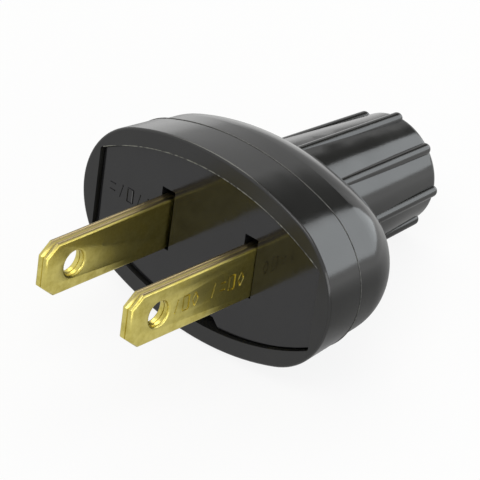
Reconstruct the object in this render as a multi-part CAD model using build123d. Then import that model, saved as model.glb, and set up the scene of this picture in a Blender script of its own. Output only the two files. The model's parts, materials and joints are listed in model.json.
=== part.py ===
from build123d import *
from math import acos, atan2, cos, degrees, hypot, radians, tan
import os

# Two-blade straight plug, empty of its cord, as it lies on a table.
# It is drawn with X across the blades, +Y from the rim face towards the cord
# and +Z up the height of the flange, and is turned to its resting tilt at the end.
# All lengths are in millimetres and all angles in degrees.

# Blades, as the mating socket fixes them
BLADE_SPACING = 12.7
BLADE_WIDTH = 6.35
LEAF_THICKNESS = 0.76
BLADE_REACH = 18.3
BLADE_HOLE_DIAMETER = 3.2
BLADE_HOLE_TO_TIP = 4.3
TIP_BEVEL_RUN = 1.6
TIP_BEVEL_DROP = 1.35
LEAF_EDGE_RADIUS = 0.3
SEAM_WIDTH = 0.2
SEAM_DEPTH = 0.3
BEND_INNER_RADIUS = 0.6
FOOT_CLEARANCE = 0.4
FOOT_CORNER_RADIUS = 1.2

# Flange of the body
FLANGE_LENGTH = 37.2
FLANGE_HEIGHT = 23.0
FLANGE_END_RADIUS = 9.9
RIM_DEPTH = 5.6
RIM_DRAFT = 5.0
RIM_EDGE_RADIUS = 0.3
PARTING_STEP = 0.2
BODY_DEPTH = 15.3
DOME_DRAFT = 5.0
SHOULDER_RADIUS = 7.0
LARGEST_SHOULDER_SHARE = 0.95

# Handle
PLUG_DEPTH = 32.2
HANDLE_FRONT_RADIUS = 7.75
HANDLE_END_RADIUS = 6.45
HANDLE_EDGE_RADIUS = 0.8
HANDLE_ROOT_RADIUS = 1.6
RIB_COUNT = 8
RIB_RADIUS = 0.7
RIB_FRONT_STAND = 0.2
RIB_END_STAND = 0.75
RIB_END_SETBACK = 0.3
CORD_BORE_DIAMETER = 7.4
CORD_MOUTH_RADIUS = 0.6

# Recess in the rim face and the cover plate that fills it
RIM_WIDTH = 2.15
RECESS_END_HEIGHT = 9.8
RECESS_CORNER_RADIUS = 0.4
PLATE_SINK = 0.55
PLATE_THICKNESS = 1.8
PLATE_CLEARANCE = 0.1
PLATE_EDGE_BEVEL = 0.12
SLOT_CLEARANCE = 0.08
SLOT_INNER_GAP = 0.3
SLOT_NOTCH_HEIGHT = 0.9
PRY_NOTCH_WIDTH = 4.6
PRY_NOTCH_HEIGHT = 1.15
POST_DIAMETER = 2.6
POST_LENGTH = 4.0
POST_CLEARANCE = 0.1

# Chambers behind the plate
LEDGE_WIDTH = 1.4
TERMINAL_DEPTH = 8.2
BARRIER_WIDTH = 9.6
BARRIER_WALL = 1.1
KNOT_HEIGHT = 8.8
KNOT_DEPTH = 13.0
KNOT_CORNER_RADIUS = 1.5
WIRE_NOTCH_WIDTH = 3.0
WIRE_NOTCH_DEPTH = 3.2
WIRE_NOTCH_HEIGHT = 3.4

# Terminal screws and the square nuts under the feet
SCREW_DIAMETER = 3.4
SCREW_LENGTH = 5.2
SCREW_HEAD_DIAMETER = 6.2
SCREW_HEAD_HEIGHT = 1.9
SCREW_HEAD_RIM = 0.6
SCREW_SLOT_WIDTH = 1.0
SCREW_SLOT_DEPTH = 1.0
SCREW_CLEARANCE = 0.1
SCREW_TIP_BEVEL = 0.3
SCREW_TIP_GAP = 0.6
NUT_WIDTH = 7.9
NUT_THICKNESS = 2.7
NUT_BEVEL = 0.4
NUT_CLEARANCE = 0.1

# Sizes that follow from the ones above
blade_thickness = 2 * LEAF_THICKNESS
blade_x = BLADE_SPACING / 2
flange_half_length = FLANGE_LENGTH / 2
flange_half_height = FLANGE_HEIGHT / 2
end_centre_x = flange_half_length - FLANGE_END_RADIUS
crown_radius = (
    (end_centre_x**2 + flange_half_height**2 - FLANGE_END_RADIUS**2)
    / (2 * (flange_half_height - FLANGE_END_RADIUS))
)
rim_back_inset = RIM_DEPTH * tan(radians(RIM_DRAFT))
dome_front_inset = rim_back_inset + PARTING_STEP
dome_back_inset = dome_front_inset + (BODY_DEPTH - RIM_DEPTH) * tan(radians(DOME_DRAFT))
largest_shoulder = LARGEST_SHOULDER_SHARE * (FLANGE_END_RADIUS - dome_back_inset)
shoulder_radius = min(SHOULDER_RADIUS, largest_shoulder)
recess_half_length = flange_half_length - RIM_WIDTH
recess_half_height = flange_half_height - RIM_WIDTH
recess_depth = PLATE_SINK + PLATE_THICKNESS
post_z = KNOT_HEIGHT / 2 + BARRIER_WALL + POST_DIAMETER / 2
toe_x = recess_half_length - LEDGE_WIDTH - FOOT_CLEARANCE
terminal_x = (blade_x + LEAF_THICKNESS + BEND_INNER_RADIUS + toe_x) / 2
foot_front = TERMINAL_DEPTH - blade_thickness
tapped_radius = (SCREW_DIAMETER + SCREW_CLEARANCE) / 2
handle_length = PLUG_DEPTH - BODY_DEPTH
rib_end_y = PLUG_DEPTH - RIB_END_SETBACK - RIB_RADIUS
rib_end_radius = HANDLE_END_RADIUS + RIB_END_STAND - RIB_RADIUS
rib_front_radius = HANDLE_FRONT_RADIUS + RIB_FRONT_STAND - RIB_RADIUS


def section(depth, sketch):
    """Puts a flat sketch, drawn in X and Z, at a depth behind the rim face."""
    return Plane((0, depth, 0), x_dir=(1, 0, 0), z_dir=(0, -1, 0)) * sketch


def prism(sketch, start, end):
    """Solid of a sketch between two depths behind the rim face."""
    return extrude(section(start, sketch), amount=end - start, dir=(0, 1, 0))


def rod(x, z, radius, start, end):
    """Round bar along the plug's axis between two depths."""
    return prism(Pos(x, z) * Circle(radius), start, end)


def flange_outline(inset):
    """Oval of two crowns and two ends, all tangent, offset inwards."""
    half_length = flange_half_length - inset
    half_height = flange_half_height - inset
    end = FLANGE_END_RADIUS - inset
    crown = crown_radius - inset
    joint_x = crown * end_centre_x / (crown - end)
    joint_z = (crown - half_height) * end / (crown - end)
    arcs = Curve() + [
        ThreePointArc((-joint_x, joint_z), (0, half_height), (joint_x, joint_z)),
        ThreePointArc((joint_x, joint_z), (half_length, 0), (joint_x, -joint_z)),
        ThreePointArc((joint_x, -joint_z), (0, -half_height), (-joint_x, -joint_z)),
        ThreePointArc((-joint_x, -joint_z), (-half_length, 0), (-joint_x, joint_z)),
    ]
    return make_face(arcs)


def recess_outline(inset):
    """Shape of the recess and plate: crowned top and bottom, straight ends."""
    half_length = recess_half_length - inset
    half_height = recess_half_height - inset
    half_end = RECESS_END_HEIGHT / 2 - inset
    edges = Curve() + [
        ThreePointArc((-half_length, half_end), (0, half_height), (half_length, half_end)),
        Line((half_length, half_end), (half_length, -half_end)),
        ThreePointArc((half_length, -half_end), (0, -half_height), (-half_length, -half_end)),
        Line((-half_length, -half_end), (-half_length, half_end)),
    ]
    face = make_face(edges)
    return fillet(face.vertices(), RECESS_CORNER_RADIUS)


def slot_outline(side):
    """Slot of the blade on one side, open towards the middle and above it."""
    inner = blade_x - LEAF_THICKNESS - SLOT_INNER_GAP
    outer = blade_x + LEAF_THICKNESS + SLOT_CLEARANCE
    bottom = -BLADE_WIDTH / 2 - SLOT_CLEARANCE
    top = BLADE_WIDTH / 2 + SLOT_NOTCH_HEIGHT
    place = Pos(side * (inner + outer) / 2, (bottom + top) / 2)
    return place * Rectangle(outer - inner, top - bottom)


def pry_notch_outline():
    """Notch with sloping sides in the middle of the plate's lower edge."""
    edge_z = -recess_half_height
    head_z = edge_z + PLATE_CLEARANCE + PRY_NOTCH_HEIGHT
    half_head = PRY_NOTCH_WIDTH / 2
    half_foot = half_head + head_z - edge_z
    return make_face(
        Polyline(
            (-half_foot, edge_z),
            (-half_head, head_z),
            (half_head, head_z),
            (half_foot, edge_z),
            close=True,
        )
    )


def handle_radius(depth):
    """Radius of the tapered core of the handle at a depth."""
    share = (depth - BODY_DEPTH) / handle_length
    return HANDLE_FRONT_RADIUS + share * (HANDLE_END_RADIUS - HANDLE_FRONT_RADIUS)


def rib_radius_at(depth):
    """Distance from the axis to the centre line of a rib at a depth."""
    share = (depth - BODY_DEPTH) / (rib_end_y - BODY_DEPTH)
    return rib_front_radius + share * (rib_end_radius - rib_front_radius)


def make_rim():
    """Front band of the flange, drafted inwards towards the parting line."""
    front = section(0, flange_outline(0))
    back = section(RIM_DEPTH, flange_outline(rim_back_inset))
    rim = loft([front, back], ruled=True)
    front_edges = rim.edges().group_by(Axis.Y)[0]
    return fillet(front_edges, RIM_EDGE_RADIUS)


def make_dome():
    """Back of the flange, with its large rounded shoulder."""
    front = section(RIM_DEPTH, flange_outline(dome_front_inset))
    back = section(BODY_DEPTH, flange_outline(dome_back_inset))
    dome = loft([front, back], ruled=True)
    back_edges = dome.edges().group_by(Axis.Y)[-1]
    return fillet(back_edges, shoulder_radius)


def make_handle_core(start):
    """Tapered round core of the handle with its rounded rear edge."""
    profile = make_face(
        Polyline(
            (0, start),
            (handle_radius(start), start),
            (HANDLE_END_RADIUS, PLUG_DEPTH),
            (0, PLUG_DEPTH),
            close=True,
        )
    )
    core = revolve(profile, axis=Axis.Y)
    rear_edge = core.edges().filter_by(GeomType.CIRCLE).group_by(Axis.Y)[-1]
    return fillet(rear_edge, HANDLE_EDGE_RADIUS)


def make_rib(start):
    """Round-crested grip rib that rises out of the core towards its round end."""
    front = Vector(rib_radius_at(start), start, 0)
    end = Vector(rib_end_radius, rib_end_y, 0)
    along = end - front
    start_plane = Plane(front, x_dir=(-1, 0, 0), z_dir=along)
    bar = extrude(start_plane * Circle(RIB_RADIUS), amount=along.length)
    return bar + Pos(end) * Rot(0, 0, 180) * Sphere(RIB_RADIUS)


def make_chambers():
    """Spaces inside the body: plate recess, terminals, knot, cord and nuts."""
    hollow = prism(recess_outline(0), 0, recess_depth)
    floor = recess_outline(LEDGE_WIDTH)
    barrier = Rectangle(BARRIER_WIDTH, FLANGE_HEIGHT)
    hollow += prism(floor - barrier, recess_depth, TERMINAL_DEPTH)
    knot_width = BARRIER_WIDTH - 2 * BARRIER_WALL
    knot = RectangleRounded(knot_width, KNOT_HEIGHT, KNOT_CORNER_RADIUS)
    hollow += prism(knot, recess_depth, KNOT_DEPTH)
    hollow += rod(0, 0, CORD_BORE_DIAMETER / 2, KNOT_DEPTH, PLUG_DEPTH)
    notch_length = BARRIER_WIDTH + 2 * BARRIER_WALL
    notch = Pos(0, WIRE_NOTCH_HEIGHT) * Rectangle(notch_length, WIRE_NOTCH_WIDTH)
    hollow += prism(notch, recess_depth, recess_depth + WIRE_NOTCH_DEPTH)
    nut_width = NUT_WIDTH + 2 * NUT_CLEARANCE
    tip_radius = SCREW_DIAMETER / 2 + SCREW_CLEARANCE
    tip_depth = foot_front + SCREW_LENGTH + SCREW_TIP_GAP
    for x in (-terminal_x, terminal_x):
        nut_pocket = Pos(x, 0) * Rectangle(nut_width, nut_width)
        hollow += prism(nut_pocket, TERMINAL_DEPTH, TERMINAL_DEPTH + NUT_THICKNESS)
        hollow += rod(x, 0, tip_radius, TERMINAL_DEPTH, tip_depth)
    post_radius = POST_DIAMETER / 2 + POST_CLEARANCE
    post_depth = recess_depth + POST_LENGTH + POST_CLEARANCE
    for z in (-post_z, post_z):
        hollow += rod(0, z, post_radius, recess_depth, post_depth)
    return hollow


def make_body():
    """Moulded body: rim, dome and ribbed handle in one piece."""
    inside = BODY_DEPTH - shoulder_radius
    dome = make_dome()
    core = make_handle_core(inside)
    back = dome + core
    root_edges = new_edges(dome, core, combined=back)
    body = make_rim() + fillet(root_edges, HANDLE_ROOT_RADIUS)
    rib = make_rib(inside + RIB_RADIUS)
    for index in range(RIB_COUNT):
        body += Rot(0, index * 360 / RIB_COUNT, 0) * rib
    body -= make_chambers()
    mouth = body.edges().filter_by(GeomType.CIRCLE).group_by(Axis.Y)[-1]
    mouth = mouth.sort_by(SortBy.RADIUS)[:1]
    return fillet(mouth, CORD_MOUTH_RADIUS)


def make_cover_plate():
    """Plate with two blade slots, a pry notch and two locating posts."""
    plate = prism(recess_outline(PLATE_CLEARANCE), PLATE_SINK, recess_depth)
    plate -= prism(pry_notch_outline(), PLATE_SINK, recess_depth)
    front_edges = plate.edges().group_by(Axis.Y)[0]
    plate = chamfer(front_edges, PLATE_EDGE_BEVEL)
    for side in (-1, 1):
        plate -= prism(slot_outline(side), PLATE_SINK, recess_depth)
    for z in (-post_z, post_z):
        plate += rod(0, z, POST_DIAMETER / 2, PLATE_SINK + PLATE_EDGE_BEVEL, recess_depth + POST_LENGTH)
    return plate


def make_blade():
    """Right-hand blade: a folded strip whose inner end turns out into a foot."""
    inner = blade_x - LEAF_THICKNESS
    outer = blade_x + LEAF_THICKNESS
    strip = make_face(
        Polyline(
            (inner, -BLADE_REACH),
            (outer, -BLADE_REACH),
            (outer, foot_front),
            (toe_x, foot_front),
            (toe_x, TERMINAL_DEPTH),
            (inner, TERMINAL_DEPTH),
            close=True,
        )
    )
    crook = strip.vertices().group_by(Axis.X)[1].sort_by(Axis.Y)[-1]
    strip = fillet(crook, BEND_INNER_RADIUS)
    heel = strip.vertices().group_by(Axis.X)[0].sort_by(Axis.Y)[-1]
    strip = fillet(heel, BEND_INNER_RADIUS + blade_thickness)
    blade = extrude(strip, amount=BLADE_WIDTH / 2, both=True)
    toe_edges = blade.edges().filter_by(Axis.Y).group_by(Axis.X)[-1]
    blade = fillet(toe_edges, FOOT_CORNER_RADIUS)
    half_width = BLADE_WIDTH / 2
    side = make_face(
        Polyline(
            (-BLADE_REACH, -half_width + TIP_BEVEL_DROP),
            (-BLADE_REACH + TIP_BEVEL_RUN, -half_width),
            (TERMINAL_DEPTH, -half_width),
            (TERMINAL_DEPTH, half_width),
            (-BLADE_REACH + TIP_BEVEL_RUN, half_width),
            (-BLADE_REACH, half_width - TIP_BEVEL_DROP),
            close=True,
        )
    )
    blade &= extrude(Plane.YZ * side, amount=toe_x)
    hole_y = BLADE_HOLE_TO_TIP - BLADE_REACH
    hole = Plane((0, hole_y, 0), z_dir=(1, 0, 0)) * Circle(BLADE_HOLE_DIAMETER / 2)
    blade -= extrude(hole, amount=toe_x)
    straight = blade.edges().filter_by(GeomType.LINE).filter_by(Plane.YZ)
    rounded = straight.filter_by(lambda edge: edge.center().Y < recess_depth)
    blade = fillet(rounded, LEAF_EDGE_RADIUS)
    blade -= make_seam()
    return blade - rod(terminal_x, 0, tapped_radius, foot_front, TERMINAL_DEPTH)


def make_seam():
    """Groove between the two leaves along the top edge and round the tip."""
    half_width = BLADE_WIDTH / 2
    path = [
        (-BLADE_REACH, -half_width + TIP_BEVEL_DROP),
        (-BLADE_REACH, half_width - TIP_BEVEL_DROP),
        (-BLADE_REACH + TIP_BEVEL_RUN, half_width),
        (foot_front, half_width),
    ]
    groove = None
    for start, end in zip(path, path[1:]):
        run = Vector(0, end[0] - start[0], end[1] - start[1])
        first = Vector(blade_x, start[0], start[1]) - run.normalized() * SEAM_DEPTH
        length = run.length + 2 * SEAM_DEPTH
        plane = Plane(first, x_dir=(1, 0, 0), z_dir=run)
        lozenge = make_face(
            Polyline(
                (-SEAM_WIDTH / 2, 0),
                (0, SEAM_DEPTH),
                (SEAM_WIDTH / 2, 0),
                (0, -SEAM_DEPTH),
                close=True,
            )
        )
        bar = extrude(plane * lozenge, amount=length)
        groove = bar if groove is None else groove + bar
    return groove


def make_terminal_screw():
    """Binding screw of the right-hand terminal, head towards the plate."""
    head_radius = SCREW_HEAD_DIAMETER / 2
    shank_radius = SCREW_DIAMETER / 2
    top = foot_front - SCREW_HEAD_HEIGHT
    rim_top = foot_front - SCREW_HEAD_RIM
    end = foot_front + SCREW_LENGTH
    crown_height = rim_top - top
    cap_radius = (head_radius**2 + crown_height**2) / (2 * crown_height)
    half_way = top + cap_radius - (cap_radius**2 - (head_radius / 2) ** 2) ** 0.5
    edges = Curve() + [
        Line((0, end), (0, top)),
        ThreePointArc((0, top), (head_radius / 2, half_way), (head_radius, rim_top)),
        Polyline(
            (head_radius, rim_top),
            (head_radius, foot_front),
            (shank_radius, foot_front),
            (shank_radius, end),
            (0, end),
        ),
    ]
    screw = revolve(make_face(edges), axis=Axis.Y)
    slot = Rectangle(2 * SCREW_HEAD_DIAMETER, SCREW_SLOT_WIDTH)
    screw -= prism(slot, top, top + SCREW_SLOT_DEPTH)
    tip = screw.edges().filter_by(GeomType.CIRCLE).group_by(Axis.Y)[-1]
    screw = chamfer(tip, SCREW_TIP_BEVEL)
    return Pos(terminal_x, 0, 0) * screw


def make_terminal_nut():
    """Square nut in its pocket behind the foot."""
    nut_end = TERMINAL_DEPTH + NUT_THICKNESS
    nut = prism(Rectangle(NUT_WIDTH, NUT_WIDTH), TERMINAL_DEPTH, nut_end)
    nut = chamfer(nut.edges().filter_by(Axis.Y), NUT_BEVEL)
    bore = rod(0, 0, tapped_radius, TERMINAL_DEPTH, nut_end)
    return Pos(terminal_x, 0, 0) * (nut - bore)


def resting_tilt():
    """Angle between the axis and the table, touching shoulder and rib end."""
    draft_angle = radians(DOME_DRAFT)
    centre_y = BODY_DEPTH - shoulder_radius
    wall = flange_half_height - dome_front_inset - (centre_y - RIM_DEPTH) * tan(draft_angle)
    centre_drop = wall - shoulder_radius / cos(draft_angle)
    run = rib_end_y - centre_y
    rise = centre_drop - rib_end_radius
    return acos((RIB_RADIUS - shoulder_radius) / hypot(run, rise)) - atan2(run, rise)


def main():
    """Builds every piece, lays the plug down and writes the files."""
    right = {
        "blade": make_blade(),
        "terminal_screw": make_terminal_screw(),
        "terminal_nut": make_terminal_nut(),
    }
    pieces = {"body": make_body(), "cover_plate": make_cover_plate()}
    for name, piece in right.items():
        pieces[name + "_right"] = piece
        pieces[name + "_left"] = mirror(piece, about=Plane.YZ)
    tilt = resting_tilt()
    turned = {name: Rot(-degrees(tilt), 0, 0) * piece for name, piece in pieces.items()}
    box = Compound(children=[piece.solid() for piece in turned.values()]).bounding_box()
    centre = box.center()
    shift = Pos(-centre.X, -centre.Y, -box.min.Z)
    os.makedirs("parts", exist_ok=True)
    for name, piece in turned.items():
        export_step(shift * piece, f"parts/{name}.step")
    print("tilt", round(degrees(tilt), 4), "rim face centre at", -centre.Y, -box.min.Z)
    print("size", box.size)


main()
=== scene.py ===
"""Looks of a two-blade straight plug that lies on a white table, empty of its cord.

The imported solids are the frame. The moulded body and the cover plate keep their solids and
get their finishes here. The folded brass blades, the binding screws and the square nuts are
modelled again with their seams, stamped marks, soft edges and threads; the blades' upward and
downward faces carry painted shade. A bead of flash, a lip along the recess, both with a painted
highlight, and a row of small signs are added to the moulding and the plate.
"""

import json
import logging
from collections.abc import Callable, Iterable, Iterator
from contextlib import contextmanager
from dataclasses import dataclass, field
from enum import Enum
from math import asin, atan2, cos, hypot, pi, radians, sin, tan

import bmesh
import bpy
from bmesh.types import BMesh
from bpy.types import Material, NodeSocket, NodeTree, Object, ShaderNode
from mathutils import Matrix, Quaternion, Vector


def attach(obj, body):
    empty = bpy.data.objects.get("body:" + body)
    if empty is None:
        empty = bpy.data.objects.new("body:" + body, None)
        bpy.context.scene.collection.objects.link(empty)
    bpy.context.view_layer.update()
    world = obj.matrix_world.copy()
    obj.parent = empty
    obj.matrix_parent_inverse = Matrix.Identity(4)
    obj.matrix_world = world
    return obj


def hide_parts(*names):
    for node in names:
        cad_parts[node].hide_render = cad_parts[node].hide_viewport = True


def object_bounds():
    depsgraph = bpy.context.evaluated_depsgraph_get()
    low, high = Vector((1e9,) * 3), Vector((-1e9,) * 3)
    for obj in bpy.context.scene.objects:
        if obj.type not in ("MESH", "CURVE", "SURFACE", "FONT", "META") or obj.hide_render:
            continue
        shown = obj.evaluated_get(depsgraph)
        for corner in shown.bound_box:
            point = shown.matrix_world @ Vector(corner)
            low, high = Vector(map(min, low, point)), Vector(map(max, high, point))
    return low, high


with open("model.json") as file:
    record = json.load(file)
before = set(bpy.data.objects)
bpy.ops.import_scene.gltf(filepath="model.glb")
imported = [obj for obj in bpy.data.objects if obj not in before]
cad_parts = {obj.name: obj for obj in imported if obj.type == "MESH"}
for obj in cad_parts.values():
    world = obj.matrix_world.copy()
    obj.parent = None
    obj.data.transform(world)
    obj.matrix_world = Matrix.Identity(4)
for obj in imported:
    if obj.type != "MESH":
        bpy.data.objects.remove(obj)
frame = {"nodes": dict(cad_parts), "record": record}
cad_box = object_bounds()
log = logging.getLogger("plug")

MILLIMETRE = 0.001
BODY = "root"
WHITE = "#ffffff"
BLACK = "#0b0b0b"

# Distance of the screws and nuts from the plug's middle, in plug millimetres
TERMINAL_X = 11.18
# Points of a mesh that are nearer than this are one, in plug millimetres
SAME_POINT = 0.002
# Slack with which faces and edges are picked by their place, in plug millimetres
SLACK = 0.01
# Share of a direction along an axis from which a face or an edge counts as square to it
SQUARE = 0.9
# Angle between two faces from which their edge counts as sharp, in degrees
SHARP = 60
# Range in which most values of a noise texture lie
NOISE_RANGE = {"From Min": 0.3, "From Max": 0.7}
# Shares of the pitch where a thread's flank starts, its crest starts and ends, and it is back
THREAD_SHARES = (0.12, 0.44, 0.56, 0.88)
THREAD_STEPS = 32
# Turns of a thread beyond its length, which the cuts at its ends take off
SPARE_TURNS = 3
BEAD_SIDES = 8


class Side(Enum):
    """Side of the plug, seen with the cord end away from the viewer."""

    LEFT = -1
    RIGHT = 1

    def node(self, name: str) -> str:
        """Name of the CAD node of a piece on this side."""
        return f"{name}_{self.name.lower()}"


class Slot(Enum):
    """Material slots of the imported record."""

    BODY = "body_plastic"
    PLATE = "plate_plastic"
    BLADE = "blade_brass"
    SCREW = "screw_brass"
    NUT = "nut_steel"


class Mark(Enum):
    """Plain stamped signs, each as strokes between points of a cell one wide and one high."""

    LOZENGE = (
        ((0.1, 0.5), (0.5, 1.0)),
        ((0.5, 1.0), (0.9, 0.5)),
        ((0.9, 0.5), (0.5, 0.0)),
        ((0.5, 0.0), (0.1, 0.5)),
    )
    WINDOW = (
        ((0.1, 0.0), (0.1, 1.0)),
        ((0.1, 1.0), (0.9, 1.0)),
        ((0.9, 1.0), (0.9, 0.0)),
        ((0.9, 0.0), (0.1, 0.0)),
    )
    STROKE = (((0.3, 0.0), (0.7, 1.0)),)
    STEPS = (
        ((0.1, 0.75), (0.9, 0.75)),
        ((0.1, 0.25), (0.9, 0.25)),
    )
    SPACE = ()


@dataclass(frozen=True)
class PlugFrame:
    """The plug's own axes in millimetres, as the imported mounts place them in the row's metres.

    X runs across the blades, Y from the rim face towards the cord and Z up the flange.
    """

    cord_mount: str = "cord_entry"
    blades_mount: str = "blades"
    blades_middle: float = -9.15

    def matrix(self) -> Matrix:
        """Works out the turn and shift from plug millimetres to row metres.

        Returns:
            Matrix that takes a point of the plug's axes to the row frame.
        """
        mounts = {mount["name"]: mount for mount in frame["record"]["mounts"]}
        across = Vector((1, 0, 0))
        along = Vector(mounts[self.cord_mount]["axis"]).normalized()
        up = across.cross(along)
        middle = Vector(mounts[self.blades_mount]["pos_m"])
        origin = middle - along * self.blades_middle * MILLIMETRE
        turn = Matrix((across, along, up)).transposed().to_4x4()
        return Matrix.Translation(origin) @ turn @ Matrix.Scale(MILLIMETRE, 4)

    def place(self, x: float, y: float, z: float) -> Vector:
        """Point of the plug's axes in the row frame."""
        return self.matrix() @ Vector((x, y, z))


PLUG = PlugFrame()


def linear(hex_colour: str) -> tuple[float, float, float, float]:
    """Turns an sRGB hex colour to linear values.

    Args:
        hex_colour: Colour as #rrggbb.

    Returns:
        Linear red, green, blue and an alpha of 1.
    """
    parts = [int(hex_colour[i : i + 2], 16) / 255 for i in (1, 3, 5)]
    red, green, blue = (
        part / 12.92 if part <= 0.04045 else ((part + 0.055) / 1.055) ** 2.4 for part in parts
    )
    return red, green, blue, 1.0


def add_node(tree: NodeTree, kind: str, inputs: dict | None = None, **settings) -> ShaderNode:
    """Adds a node with its settings, values and links.

    Args:
        tree: Node tree that gets the node.
        kind: Type of the node.
        inputs: Value or source socket for each named or numbered input.
        **settings: Attributes of the node.

    Returns:
        The new node.
    """
    node = tree.nodes.new(kind)
    for name, value in settings.items():
        setattr(node, name, value)
    for key, value in (inputs or {}).items():
        socket = node.inputs[key]
        if isinstance(value, NodeSocket):
            tree.links.new(value, socket)
        else:
            socket.default_value = value
    return node


@contextmanager
def at_work_on(piece: Object, mode: str = "FACE") -> Iterator[BMesh]:
    """Opens one piece in edit mode with nothing selected.

    Args:
        piece: Mesh object to shape.
        mode: Selection mode, VERT, EDGE or FACE.

    Yields:
        The mesh under edit.
    """
    take_up(piece)
    bpy.ops.object.mode_set(mode="EDIT")
    bpy.ops.mesh.select_mode(type=mode)
    bpy.ops.mesh.select_all(action="DESELECT")
    yield bmesh.from_edit_mesh(piece.data)
    bpy.ops.object.mode_set(mode="OBJECT")


def take_up(piece: Object) -> None:
    """Selects one piece alone and makes it the active one.

    Args:
        piece: Piece to work on.
    """
    bpy.ops.object.select_all(action="DESELECT")
    piece.select_set(True)
    bpy.context.view_layer.objects.active = piece


def pick(elements: Iterable, test: Callable[[Vector, Vector], bool]) -> None:
    """Selects faces or edges by their middle and their normal or direction.

    Args:
        elements: Faces or edges of the mesh under edit.
        test: Takes the middle and the normal or direction, both in plug millimetres.
    """
    for element in elements:
        if isinstance(element, bmesh.types.BMFace):
            middle, facing = element.calc_center_median(), element.normal
        else:
            first, last = (vertex.co for vertex in element.verts)
            middle, facing = (first + last) / 2, (last - first).normalized()
        element.select_set(test(middle, facing))


def pick_sharp(mesh: BMesh) -> None:
    """Selects the sharp edges.

    Args:
        mesh: Mesh under edit.
    """
    for edge in mesh.edges:
        edge.select_set(edge.calc_face_angle(0) > radians(SHARP))


def add_block(low: Vector, high: Vector) -> Object:
    """Adds a box between two corners, in plug millimetres.

    Args:
        low: Lowest corner.
        high: Highest corner.

    Returns:
        The new object, with its size applied.
    """
    bpy.ops.object.select_all(action="DESELECT")
    bpy.ops.mesh.primitive_cube_add(size=1, location=(low + high) / 2, scale=high - low)
    bpy.ops.object.transform_apply(location=True, rotation=True, scale=True)
    return bpy.context.active_object


def add_rod(middle: Vector, axis: str, radius: float, length: float, sides: int) -> Object:
    """Adds a round bar along one of the plug's axes, in plug millimetres.

    Args:
        middle: Centre of the bar.
        axis: X, Y or Z.
        radius: Radius of the bar.
        length: Length of the bar.
        sides: Number of its flat sides.

    Returns:
        The new object, with its place applied.
    """
    turn = {"X": (0, pi / 2, 0), "Y": (pi / 2, 0, 0), "Z": (0, 0, 0)}[axis]
    bpy.ops.object.select_all(action="DESELECT")
    bpy.ops.mesh.primitive_cylinder_add(
        vertices=sides, radius=radius, depth=length, location=middle, rotation=turn
    )
    bpy.ops.object.transform_apply(location=True, rotation=True, scale=True)
    return bpy.context.active_object


def cut(piece: Object, tool: Object) -> None:
    """Takes the tool's shape out of a piece and removes the tool.

    Args:
        piece: Piece that is cut.
        tool: Closed mesh to subtract.
    """
    take_up(piece)
    modifier = piece.modifiers.new("cut", "BOOLEAN")
    modifier.operation = "DIFFERENCE"
    modifier.solver = "EXACT"
    modifier.object = tool
    bpy.ops.object.modifier_apply(modifier=modifier.name)
    bpy.data.objects.remove(tool)


def join(pieces: list[Object]) -> Object:
    """Joins pieces into one.

    Args:
        pieces: Pieces to join.

    Returns:
        The first piece, which then holds them all.
    """
    bpy.ops.object.select_all(action="DESELECT")
    for piece in pieces:
        piece.select_set(True)
    bpy.context.view_layer.objects.active = pieces[0]
    bpy.ops.object.join()
    return pieces[0]


def settle_mesh(piece: Object, smooth_below: float) -> None:
    """Merges doubles, turns all faces outwards and smooths the shallow edges.

    Args:
        piece: Finished piece, in plug millimetres.
        smooth_below: Angle in degrees under which an edge is shaded smooth.
    """
    with at_work_on(piece):
        bpy.ops.mesh.select_all(action="SELECT")
        bpy.ops.mesh.remove_doubles(threshold=SAME_POINT)
        bpy.ops.mesh.normals_make_consistent(inside=False)
    take_up(piece)
    bpy.ops.object.shade_smooth_by_angle(angle=radians(smooth_below))


def settle_in_frame(piece: Object, name: str, material: Material) -> None:
    """Puts a finished piece in the row frame, with its place in its mesh.

    Args:
        piece: Finished piece, in plug millimetres.
        name: Name that the piece gets.
        material: Finish of the piece.
    """
    piece.matrix_world = PLUG.matrix()
    take_up(piece)
    bpy.ops.object.transform_apply(location=True, rotation=True, scale=True)
    piece.name = name
    piece.data.materials.clear()
    piece.data.materials.append(material)
    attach(piece, BODY)
    log.info("%s: %d faces", piece.name, len(piece.data.polygons))


def stand_in(piece: Object, node: str, material: Material) -> None:
    """Puts a finished piece in the row frame in place of its CAD node.

    Args:
        piece: Finished piece, in plug millimetres.
        node: CAD node that the piece stands for.
        material: Finish of the piece.
    """
    settle_in_frame(piece, f"{node}_made", material)
    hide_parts(node)


def stand_in_pair(piece: Object, name: str, material: Material) -> None:
    """Puts a copy of a terminal's piece on each side, in place of the CAD nodes.

    Args:
        piece: Finished piece on the plug's axis, which is removed.
        name: Name of the CAD nodes without their side.
        material: Finish of the pieces.
    """
    for side in Side:
        twin = piece.copy()
        twin.data = piece.data.copy()
        bpy.context.scene.collection.objects.link(twin)
        twin.data.transform(Matrix.Translation((side.value * TERMINAL_X, 0, 0)))
        stand_in(twin, side.node(name), material)
    bpy.data.objects.remove(piece)


@dataclass(frozen=True)
class Finish:
    """Base of the finishes: a named material with one Principled shader."""

    name: str

    def begin(self) -> tuple[Material, NodeTree, ShaderNode]:
        """Starts the material.

        Returns:
            The material, its node tree and its Principled shader.
        """
        material = bpy.data.materials.new(self.name)
        material.use_nodes = True
        tree = material.node_tree
        return material, tree, tree.nodes["Principled BSDF"]


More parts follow.
